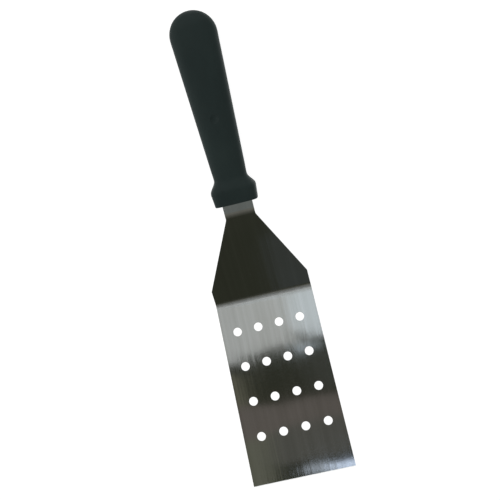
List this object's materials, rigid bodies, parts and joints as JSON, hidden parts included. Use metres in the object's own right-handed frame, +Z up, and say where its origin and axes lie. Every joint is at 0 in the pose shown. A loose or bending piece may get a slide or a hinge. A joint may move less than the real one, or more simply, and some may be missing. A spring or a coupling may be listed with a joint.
{
  "type": "grill spatula",
  "caption": "Perforated grill spatula: a bent stainless blade with offset neck and tang in a moulded black plastic handle.",
  "frame": {"origin": "on the surface the spatula lies on, under the middle of its bounding box", "axes": "+Z up, +Y along the tool from blade tip to handle butt, X across; the tool lies at rest on the heel of its blade and the underside of the handle's butt, so the flat blade climbs 20.6 degrees towards its tip (-Y)"},
  "size_m": [0.0784, 0.3466, 0.0496],
  "materials": {
    "brushed_stainless": "satin",
    "black_plastic": "satin"
  },
  "bodies": {
    "root": {"blade": "brushed_stainless", "handle": "black_plastic"}
  },
  "joints": []
}
